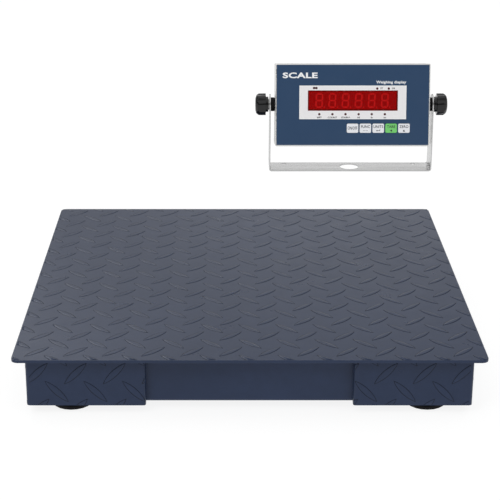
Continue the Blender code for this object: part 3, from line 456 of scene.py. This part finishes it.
def treat_nodes():
    treat("painted_steel", 2.2 * MM, "deck_plate")
    treat("painted_steel", 0.5 * MM, "skirt")
    treat("painted_sheet", 0.5 * MM, "front_channel", "rear_channel", "left_beam", "right_beam")
    treat("painted_sheet", 0.5 * MM, "left_rib", "right_rib")
    treat("bare_steel", 0.6 * MM, "load_cell", "cell_spacer")
    treat("zinc", 0.3 * MM, "foot_stem", "left_stud", "right_stud", "left_washer", "right_washer")
    treat("black_rubber", 0.6 * MM, "foot_base", "left_bush", "right_bush")
    treat("nylon", 0, "foot_socket")
    treat("box_grey", 0.8 * MM, "junction_box", "junction_lid")
    treat("circuit_green", 0, "summing_board", "main_board", "key_board")
    treat("black_plastic", 0.4 * MM, "signal_gland", "power_socket", "battery")
    treat("knob_plastic", 0.5 * MM, "left_knob", "right_knob")
    treat("zinc", 0.3 * MM, "signal_socket")
    treat("stainless", 0.4 * MM, "case", "rear_cover")
    treat("stainless_yoke", 0.35 * MM, "yoke")
    treat("blue_film", 0.2 * MM, "front_film")
    treat("grey_print", 0.15 * MM, "window_surround")
    treat("red_lens", 0.2 * MM, "red_lens")
    treat("display_face", 0, "digit_module")
    treat("key_white", 0.3 * MM, "power_key", "function_key", "unit_key", "zero_key")
    treat("key_green", 0.3 * MM, "tare_key")


# ---------------------------------------------------------------- helpers for new pieces

def linked(name, data):
    obj = bpy.data.objects.new(name, data)
    bpy.context.scene.collection.objects.link(obj)
    return obj


def piece(name, mesh, materials, body, matrix):
    """A new object that rides on a body and takes its finish, by name, from the materials made above.
    """
    obj = linked(name, mesh)
    obj.matrix_world = matrix
    for material in materials:
        obj.data.materials.append(MATERIALS[material])
    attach(obj, body)
    return obj


def mesh_from(bm, name):
    mesh = bpy.data.meshes.new(name)
    bm.normal_update()
    bm.to_mesh(mesh)
    bm.free()
    return mesh


def join_loops(bm, lower, upper, material_index=0):
    """Faces between two closed loops of as many points each."""
    for i in range(len(lower)):
        j = (i + 1) % len(lower)
        face = bm.faces.new((lower[i], lower[j], upper[j], upper[i]))
        face.material_index = material_index


def cap_loops(bm, first, last):
    bm.faces.new(last)
    bm.faces.new(reversed(first))


# ---------------------------------------------------------------- checker plate

def lug_ring(inset, height):
    """One loop of a lens outline, drawn in by inset, at a height."""
    half_length = LUG_LENGTH / 2 - inset * LUG_TIP_TAPER
    half_width = LUG_WIDTH / 2 - inset
    points = []
    for side in (1, -1):
        for i in range(LUG_SIDE_POINTS):
            along = math.cos(math.pi * i / LUG_SIDE_POINTS)
            bulge = half_width * (1 - along**2) ** LUG_FULLNESS
            points.append(Vector((side * along * half_length, side * bulge, height)))
    return points


def add_lug(bm, centre, angle):
    """A closed lens-shaped lug, with material 1, a painted shade, on its crease."""
    spin = Matrix.Translation((*centre, 0)) @ Matrix.Rotation(angle, 4, "Z")
    loops = [[bm.verts.new(spin @ point) for point in lug_ring(*ring)] for ring in LUG_RINGS]
    for level, (lower, upper) in enumerate(zip(loops, loops[1:], strict=False)):
        join_loops(bm, lower, upper, 1 if level < CREASE_BANDS else 0)
    cap_loops(bm, loops[0], loops[-1])


def cut_square(bm, low, high):
    """Cuts everything off outside a rectangle, and closes the cuts."""
    for axis in (0, 1):
        for limit, sign in ((low[axis], -1), (high[axis], 1)):
            normal, point = Vector((0, 0, 0)), Vector((0, 0, 0))
            normal[axis] = sign
            point[axis] = limit
            bmesh.ops.bisect_plane(
                bm,
                geom=bm.verts[:] + bm.edges[:] + bm.faces[:],
                dist=CUT_TOLERANCE,
                plane_co=point,
                plane_no=normal,
                clear_outer=True,
            )
            open_edges = [edge for edge in bm.edges if edge.is_boundary]
            if open_edges:
                bmesh.ops.holes_fill(bm, edges=open_edges, sides=0)


def lug_field(low, high, first):
    """Lugs over a rectangle, cut off square at its edges. first is the centre of a rising lug."""
    bm = bmesh.new()
    for falling in (0, 1):
        angle = math.radians(-45 if falling else 45)
        start = first + LUG_PITCH * falling / 2
        columns, rows = (
            range(
                math.floor((low[k] - LUG_OVERHANG - start[k]) / LUG_PITCH[k]),
                math.ceil((high[k] + LUG_OVERHANG - start[k]) / LUG_PITCH[k]) + 1,
            )
            for k in (0, 1)
        )
        for i, j in itertools.product(columns, rows):
            centre = start + Vector((i * LUG_PITCH.x, j * LUG_PITCH.y))
            if all(low[k] - LUG_OVERHANG < centre[k] < high[k] + LUG_OVERHANG for k in (0, 1)):
                add_lug(bm, centre, angle)
    cut_square(bm, low, high)
    bmesh.ops.recalc_face_normals(bm, faces=bm.faces)
    mesh = mesh_from(bm, "lugs")
    smooth(mesh)
    return mesh


def axes_matrix(origin, first, second):
    """A frame at an origin, with its X and Y along the two directions."""
    columns = (first, second, first.cross(second))
    return Matrix.Translation(origin) @ Matrix(columns).transposed().to_4x4()


def add_checker_plate():
    # The second finish is the painted shade on the lugs' creases
    finish = ("painted_steel", "painted_crease_shade")
    low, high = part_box("deck_plate")
    edge = Vector((DECK_MARGIN, DECK_MARGIN))
    field = lug_field(low.xy + edge, high.xy - edge, DECK_FIRST_LUG)
    top = Matrix.Translation((0, 0, high.z))
    piece("deck_lugs", field, finish, "platform", top)
    first = Vector((DECK_FIRST_LUG.x, SKIRT_FIRST_LUG_Z))
    for corner, (side, end) in CORNERS.items():
        low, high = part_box(f"skirt_{corner}")
        for face in ("end", "side"):
            if face == "end":
                right, plane = -end * X_AXIS, Y_AXIS * (high.y if end > 0 else low.y)
                span = sorted((low.x * -end, high.x * -end))
                bend_is_high = (side * -end) > 0
            else:
                right, plane = side * Y_AXIS, X_AXIS * (high.x if side > 0 else low.x)
                span = sorted((low.y * side, high.y * side))
                bend_is_high = (end * side) > 0
            start = span[0] + (SKIRT_MARGIN if bend_is_high else SKIRT_BEND_MARGIN)
            stop = span[1] - (SKIRT_BEND_MARGIN if bend_is_high else SKIRT_MARGIN)
            bottom, top = low.z + SKIRT_MARGIN, high.z - SKIRT_TOP_MARGIN
            mesh = lug_field(Vector((start, bottom)), Vector((stop, top)), first)
            matrix = axes_matrix(plane, right, Z_AXIS)
            piece(f"lugs_{corner}_{face}", mesh, finish, "platform", matrix)


# ---------------------------------------------------------------- indicator

def joint(name):
    return next(entry for entry in frame["joints"] if entry["name"] == name)


def head_matrix():
    """The head's frame: X to the right, Y into the case, Z up its face, its origin on the tilt axis."""
    into = Vector(joint("power_key_press")["axis"]).normalized()
    return axes_matrix(joint("head_tilt")["pos_m"], X_AXIS, into)


HEAD = head_matrix()


def head_box(node):
    """(lowest, highest) corner of a node in the head's frame."""
    back = HEAD.inverted()
    points = [back @ vertex.co for vertex in frame["nodes"][node].data.vertices]
    low = Vector(min(point[k] for point in points) for k in range(3))
    high = Vector(max(point[k] for point in points) for k in range(3))
    return low, high


def on_face(x, y, z):
    """A matrix that stands a flat shape on the face, its X to the right and its Y up."""
    return HEAD @ Matrix.Translation((x, y, z)) @ Matrix.Rotation(math.pi / 2, 4, "X")


def flat_mesh(outlines, thickness=PRINT_THICK):
    """Thin closed plates, one for each outline, drawn in X and Y, from Z = 0 outwards."""
    bm = bmesh.new()
    for outline in outlines:
        lower = [bm.verts.new((x, y, 0)) for x, y in outline]
        upper = [bm.verts.new((x, y, thickness)) for x, y in outline]
        join_loops(bm, lower, upper)
        cap_loops(bm, lower, upper)
    bmesh.ops.recalc_face_normals(bm, faces=bm.faces)
    return mesh_from(bm, "print")


def disc(x, y, radius, steps=20):
    angles = [2 * math.pi * i / steps for i in range(steps)]
    return [(x + radius * math.cos(a), y + radius * math.sin(a)) for a in angles]


def bar(x, y, width, height):
    return [
        (x - width / 2, y - height / 2),
        (x + width / 2, y - height / 2),
        (x + width / 2, y + height / 2),
        (x - width / 2, y + height / 2),
    ]


def lettering(name, words, centre, kind, ink, body, align="CENTER"):
    """Flat printed words on the face, converted to a mesh. kind is one of the types of print."""
    height, weight, stretch = kind
    curve = bpy.data.curves.new(name, "FONT")
    curve.body = words
    curve.size = height / CAPITAL_HEIGHT
    curve.align_x = align
    curve.align_y = "CENTER"
    curve.offset = weight
    curve.extrude = LETTER_DEPTH
    curve.resolution_u = 4
    curve.space_character = LETTER_SPACING
    source = linked(name, curve)
    bpy.context.view_layer.update()
    mesh = bpy.data.meshes.new_from_object(source)
    bpy.data.objects.remove(source)
    mesh.transform(Matrix.Diagonal((stretch, 1, 1, 1)))
    mesh.materials.clear()
    piece(name, mesh, [ink], body, on_face(*centre))


def digit_segments(centre_x):
    """The seven bars and the point of one digit, mitred, leaning a little, centred on y = 0."""
    half_w, half_h = (DIGIT_WIDTH - SEGMENT_WIDTH) / 2, (DIGIT_HEIGHT - SEGMENT_WIDTH) / 2
    runs = (
        ((-1, 1), (1, 1)), ((-1, 0), (1, 0)), ((-1, -1), (1, -1)),
        ((-1, 0), (-1, 1)), ((1, 0), (1, 1)), ((-1, -1), (-1, 0)), ((1, -1), (1, 0)),
    )
    outlines = []
    for run in runs:
        a, b = (Vector((across * half_w, up * half_h)) for across, up in run)
        along = (b - a).normalized()
        across = Vector((-along.y, along.x)) * SEGMENT_WIDTH / 2
        inner = along * (SEGMENT_WIDTH / 2)
        a, b = a + along * SEGMENT_GAP, b - along * SEGMENT_GAP
        shape = (a, a + inner - across, b - inner - across, b, b - inner + across, a + inner + across)
        outlines.append([(centre_x + point.x + DIGIT_LEAN * point.y, point.y) for point in shape])
    point_x = centre_x + DIGIT_WIDTH / 2 + POINT_OFFSET
    outlines.append(disc(point_x, -half_h, POINT_RADIUS, POINT_STEPS))
    return outlines


def add_display():
    """The unlit digits on the module's face, and the marks printed round the lens."""
    lens_low, lens_high = head_box("red_lens")
    module_low, _ = head_box("digit_module")
    xs = [DIGIT_FIRST_X + DIGIT_PITCH * index for index in range(len(LAMP_LABELS))]
    mesh = flat_mesh([outline for x in xs for outline in digit_segments(x)], SEGMENT_THICK)
    matrix = on_face(0, module_low.y - EPS, (lens_low.z + lens_high.z) / 2)
    # The segments' finish glows faintly: painted light on the unlit digits
    piece("display_digits", mesh, ["segment"], "head", matrix)

    window_low, window_high = head_box("window_surround")
    face = window_low.y - EPS
    below = lens_low.z - LAMP_DROP
    above = lens_high.z + UPPER_MARK_RISE
    marks = [disc(x, below, LAMP_RADIUS) for x in xs]
    marks += [disc(x, above - UPPER_LAMP_DROP, LAMP_RADIUS) for x, _, _ in UPPER_LAMPS]
    marks += [disc(PILL_X + reach, above, LAMP_RADIUS) for reach in (-PILL_REACH, PILL_REACH)]
    marks += [bar(PILL_X, above, *PILL_BAR)]
    on_window = on_face(0, face, 0)
    piece("status_dots", flat_mesh(marks), ["maroon_ink"], "head", on_window)

    for word, x in zip(LAMP_LABELS, xs, strict=True):
        place = (x, face, below - LABEL_DROP)
        name = f"label_{word.lower()}"
        lettering(name, word, place, LABEL_TYPE, "dark_ink", "head")
    for _, word, x in UPPER_LAMPS:
        place = (x, face, above - UPPER_LABEL_DROP)
        name = f"label_{word.lower()}"
        lettering(name, word, place, SIDE_LABEL_TYPE, "dark_ink", "head")

    left, right = window_low.x, window_high.x
    bottom, top = window_low.z, window_high.z
    width, height = right - left, top - bottom - 2 * WINDOW_RIM
    mesh = flat_mesh([
        bar((left + right) / 2, bottom + WINDOW_RIM / 2, width, WINDOW_RIM),
        bar((left + right) / 2, top - WINDOW_RIM / 2, width, WINDOW_RIM),
        bar(left + WINDOW_RIM / 2, (bottom + top) / 2, WINDOW_RIM, height),
        bar(right - WINDOW_RIM / 2, (bottom + top) / 2, WINDOW_RIM, height),
    ])
    piece("window_rim", mesh, ["white_ink"], "head", on_window)


def add_titles():
    film_low, film_high = head_box("front_film")
    _, window_high = head_box("window_surround")
    face = film_low.y - EPS
    place = (film_low.x + TITLE_INSET, face, film_high.z - TITLE_DROP)
    lettering("title_large", "SCALE", place, TITLE_TYPE, "white_ink", "head", "LEFT")
    place = (window_high.x - SUBTITLE_INSET, face, window_high.z + SUBTITLE_RISE)
    words = "Weighing display"
    lettering("title_small", words, place, SUBTITLE_TYPE, "white_ink", "head", "RIGHT")


def add_key_legends():
    for name, words, symbol in KEY_LEGENDS:
        low, high = head_box(name)
        x, z = (low.x + high.x) / 2, (low.z + high.z) / 2
        face = low.y - EPS
        if symbol:
            place = (x, face, z + LEGEND_LIFT)
            lettering(f"legend_{name}", words, place, LEGEND_TYPE, "dark_ink", name)
            mesh = flat_mesh([
                [(u * SYMBOL_UNIT, v * SYMBOL_UNIT) for u, v in outline] for outline in SYMBOLS[symbol]
            ])
            matrix = on_face(x, face, z - SYMBOL_DROP)
            piece(f"symbol_{name}", mesh, ["dark_ink"], name, matrix)
        else:
            place = (x, face, z)
            lettering(f"legend_{name}", words, place, LONE_LEGEND_TYPE, "dark_ink", name)


# ---------------------------------------------------------------- fittings

def lathe(profile, steps=24):
    """A turned shape along +Z. Each point is (radius, z) or (half width across flats, z, "hex")."""
    bm = bmesh.new()
    rings = []
    for radius, z, *hexed in profile:
        ring = []
        for i in range(steps):
            angle = 2 * math.pi * i / steps
            reach = radius
            if hexed:
                reach = radius / math.cos(math.remainder(angle - math.pi / 6, math.pi / 3))
            ring.append(bm.verts.new((reach * math.cos(angle), reach * math.sin(angle), z)))
        rings.append(ring)
    for lower, upper in zip(rings, rings[1:], strict=False):
        join_loops(bm, lower, upper)
    cap_loops(bm, rings[0], rings[-1])
    bmesh.ops.recalc_face_normals(bm, faces=bm.faces)
    return mesh_from(bm, "turned")


def screw_head(radius, height, recess):
    """A button head with a hexagonal socket."""
    return lathe((
        (radius, -SCREW_SEAT),
        (radius, height * 0.35),
        (radius * 0.88, height * 0.7),
        (radius * 0.62, height * 0.96),
        (radius * 0.52, height),
        (radius * 0.45, height, "hex"),
        (radius * 0.42, height - recess, "hex"),
    ))


def bolt_head():
    """A hexagon bolt's head on its washer, chamfered at its far end."""
    radius = CELL_BOLT_FLATS / 2
    return lathe((
        (WASHER_RADIUS, 0),
        (WASHER_RADIUS, WASHER_HEIGHT),
        (radius, WASHER_HEIGHT),
        (radius, WASHER_HEIGHT, "hex"),
        (radius, WASHER_HEIGHT + CELL_BOLT_HEIGHT * 0.85, "hex"),
        (radius * 0.96, WASHER_HEIGHT + CELL_BOLT_HEIGHT),
    ), NUT_STEPS)


def fitting(name, mesh, material, body, matrix):
    """A piece that is smooth except at its hard edges."""
    smooth(mesh)
    obj = piece(name, mesh, [material], body, matrix)
    split = obj.modifiers.new("EdgeSplit", "EDGE_SPLIT")
    split.split_angle = SPLIT_FROM


def add_cover_fittings():
    """Screws round the indicator's rear cover, and the pins in its sockets."""
    low, high = head_box("rear_cover")
    rearwards = Matrix.Rotation(-math.pi / 2, 4, "X")
    xs = (low.x + SCREW_INSET, 0, high.x - SCREW_INSET)
    zs = (low.z + SCREW_INSET, high.z - SCREW_INSET)
    for number, (x, z) in enumerate(itertools.product(xs, zs), 1):
        matrix = HEAD @ Matrix.Translation((x, high.y, z)) @ rearwards
        fitting(f"cover_screw_{number}", screw_head(*COVER_SCREW), "zinc", "head", matrix)
    for socket, bore, pins, spread in SOCKETS:
        low, high = head_box(socket)
        place = ((low.x + high.x) / 2, high.y - SOCKET_DEPTH, (low.z + high.z) / 2)
        matrix = HEAD @ Matrix.Translation(place) @ rearwards
        insert = lathe(((bore, -INSERT_SINK), (bore, 0), (bore * 0.9, INSERT_LIP)))
        fitting(f"{socket}_insert", insert, "black_plastic", "head", matrix)
        for pin in range(pins):
            angle = math.pi / 4 + 2 * math.pi * pin / pins
            offset = Matrix.Translation((spread * math.cos(angle), spread * math.sin(angle), 0))
            name = f"{socket}_pin_{pin + 1}"
            fitting(name, lathe(PIN, PIN_STEPS), "brass", "head", matrix @ offset)


def add_knob_caps():
    """The capped ends of the knobs, with a raised ring."""
    for side, sign in (("left", -1), ("right", 1)):
        low, high = head_box(f"{side}_knob")
        end = high.x if sign > 0 else low.x
        outwards = Matrix.Rotation(sign * math.pi / 2, 4, "Y")
        matrix = HEAD @ Matrix.Translation((end, 0, 0)) @ outwards
        cap = lathe(KNOB_CAP, KNOB_CAP_STEPS)
        fitting(f"{side}_knob_cap", cap, "knob_plastic", f"{side}_knob", matrix)


def add_foot_fittings():
    """The cells' bolts, and the feet's lock nuts and threads."""
    downwards = Matrix.Rotation(math.pi, 4, "X")
    for corner, (_, end) in CORNERS.items():
        cell_low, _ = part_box(f"load_cell_{corner}")
        spacer_low, spacer_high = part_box(f"cell_spacer_{corner}")
        foot_low, foot_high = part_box(f"foot_stem_{corner}")
        x, y = (foot_low.x + foot_high.x) / 2, (foot_low.y + foot_high.y) / 2
        spacer_y = (spacer_low.y + spacer_high.y) / 2
        for number, offset in enumerate((-CELL_BOLT_OFFSET, CELL_BOLT_OFFSET), 1):
            matrix = Matrix.Translation((x, spacer_y + end * offset, cell_low.z)) @ downwards
            name = f"cell_bolt_{corner}_{number}"
            fitting(name, bolt_head(), "zinc", "platform", matrix)
        matrix = Matrix.Translation((x, y, cell_low.z)) @ downwards
        nut = lathe(LOCK_NUT, NUT_STEPS)
        fitting(f"lock_nut_{corner}", nut, "zinc", "platform", matrix)
        start = cell_low.z - THREAD_START
        turns = round((foot_high.z - start) / THREAD_PITCH) - 1
        profile = []
        for turn in range(turns):
            profile += [
                (THREAD_ROOT, turn * THREAD_PITCH),
                (THREAD_CREST, (turn + 0.5) * THREAD_PITCH),
            ]
        place = Matrix.Translation((x, y, start))
        stem = f"foot_stem_{corner}"
        fitting(f"thread_{corner}", lathe(profile), "zinc", stem, place)


def add_cable_fittings():
    """The junction box's screws, and the gland's nut."""
    low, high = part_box("junction_lid")
    downwards = Matrix.Rotation(math.pi, 4, "X")
    xs = (low.x + SCREW_INSET, high.x - SCREW_INSET)
    ys = (low.y + SCREW_INSET, high.y - SCREW_INSET)
    for number, (x, y) in enumerate(itertools.product(xs, ys), 1):
        matrix = Matrix.Translation((x, y, low.z)) @ downwards
        fitting(f"lid_screw_{number}", screw_head(*LID_SCREW), "zinc", "platform", matrix)
    low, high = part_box("signal_gland")
    place = ((low.x + high.x) / 2, high.y - GLAND_NUT_SETBACK, (low.z + high.z) / 2)
    matrix = Matrix.Translation(place) @ Matrix.Rotation(-math.pi / 2, 4, "X")
    nut = lathe(GLAND_NUT, NUT_STEPS)
    fitting("gland_nut", nut, "black_plastic", "platform", matrix)


def weld_bead():
    """A bead along X, rippled, hanging under Z = 0."""
    bm = bmesh.new()
    count = round(WELD_LENGTH / WELD_RIPPLE) * 2
    sections = []
    for i in range(count + 1):
        x = WELD_LENGTH * (i / count - 0.5)
        swell = 1.0 if i % 2 else WELD_DIP
        radius = WELD_RADIUS * (WELD_TAPER if i in (0, count) else swell)
        angles = [math.pi + math.pi * step / WELD_STEPS for step in range(WELD_STEPS + 1)]
        sections.append([
            bm.verts.new((x, radius * math.cos(angle), radius * math.sin(angle))) for angle in angles
        ])
    for first, second in zip(sections, sections[1:], strict=False):
        join_loops(bm, first, second)
    cap_loops(bm, sections[0], sections[-1])
    bmesh.ops.recalc_face_normals(bm, faces=bm.faces)
    return mesh_from(bm, "weld")


def add_weld_beads():
    """Fillet welds that hold the ribs under the deck."""
    spin = Matrix.Rotation(math.pi / 2, 4, "Z")
    for name in ("left_rib", "right_rib"):
        low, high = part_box(name)
        for index in range(WELDS_PER_SIDE):
            y = low.y + (high.y - low.y) * (index + 0.5) / WELDS_PER_SIDE
            for edge, x in (("inner", low.x), ("outer", high.x)):
                matrix = Matrix.Translation((x, y, high.z)) @ spin
                label = f"weld_{name}_{edge}_{index + 1}"
                fitting(label, weld_bead(), "weld", "platform", matrix)


# ---------------------------------------------------------------- stage

def add_floor():
    bm = bmesh.new()
    bmesh.ops.create_grid(bm, x_segments=1, y_segments=1, size=FLOOR_HALF_SIDE)
    floor = linked("floor", mesh_from(bm, "floor"))
    floor.location.z = -FLOOR_DROP
    made = Shader("floor_white", (0.18, 0.18, 0.18), Roughness=0.9, Specular_IOR_Level=0.0)
    made.shader.inputs["Emission Color"].default_value = (1, 1, 1, 1)
    made.shader.inputs["Emission Strength"].default_value = FLOOR_GLOW
    floor.data.materials.append(made.material)


def add_world():
    """A dim room that brightens overhead, with a pale horizon and soft glows behind the object."""
    world = bpy.data.worlds.new("studio")
    bpy.context.scene.world = world
    world.use_nodes = True
    nodes, links = world.node_tree.nodes, world.node_tree.links
    looking = nodes.new("ShaderNodeTexCoord").outputs["Generated"]

    def ramp(value, limits):
        made = nodes.new("ShaderNodeMapRange")
        made.interpolation_type = "SMOOTHSTEP"
        for socket, limit in zip(("From Min", "From Max", "To Min", "To Max"), limits, strict=True):
            made.inputs[socket].default_value = limit
        links.new(value, made.inputs["Value"])
        return made.outputs["Result"]

    def total(first, second):
        made = nodes.new("ShaderNodeMath")
        made.operation = "ADD"
        links.new(first, made.inputs[0])
        links.new(second, made.inputs[1])
        return made.outputs["Value"]

    split = nodes.new("ShaderNodeSeparateXYZ")
    links.new(looking, split.inputs["Vector"])
    strength = total(ramp(split.outputs["Z"], ROOM_LIGHT), ramp(split.outputs["Z"], HORIZON))
    for azimuth, elevation, inner, outer, amount in GLOWS:
        aim = Matrix.Rotation(math.radians(-azimuth), 3, "Z") @ (
            Matrix.Rotation(math.radians(elevation), 3, "X") @ Y_AXIS
        )
        dot = nodes.new("ShaderNodeVectorMath")
        dot.operation = "DOT_PRODUCT"
        links.new(looking, dot.inputs[0])
        dot.inputs[1].default_value = aim
        edges = (math.cos(math.radians(outer)), math.cos(math.radians(inner)), 0, amount)
        strength = total(strength, ramp(dot.outputs["Value"], edges))
    background = nodes["Background"]
    background.inputs["Color"].default_value = (1, 1, 1, 1)
    links.new(strength, background.inputs["Strength"])


def add_softboxes():
    for name, location, target, power in SOFTBOXES:
        data = bpy.data.lights.new(name, "AREA")
        data.shape = "SQUARE"
        data.size = SOFTBOX_SIZE
        data.energy = power
        lamp = linked(name, data)
        lamp.location = location
        direction = Vector(target) - Vector(location)
        lamp.rotation_euler = direction.to_track_quat("-Z", "Y").to_euler()


def add_camera():
    data = bpy.data.cameras.new("camera")
    data.lens = CAMERA_LENS
    data.sensor_width = CAMERA_SENSOR
    data.shift_x = CAMERA_SHIFT_X
    camera = linked("camera", data)
    camera.location = CAMERA_AT
    camera.rotation_euler.x = math.radians(90 - CAMERA_PITCH)
    bpy.context.scene.camera = camera
    bpy.context.scene.view_settings.view_transform = "Standard"


add_camera()
treat_nodes()
add_checker_plate()
add_display()
add_titles()
add_key_legends()
add_cover_fittings()
add_knob_caps()
add_foot_fittings()
add_cable_fittings()
add_weld_beads()
add_floor()
add_world()
add_softboxes()
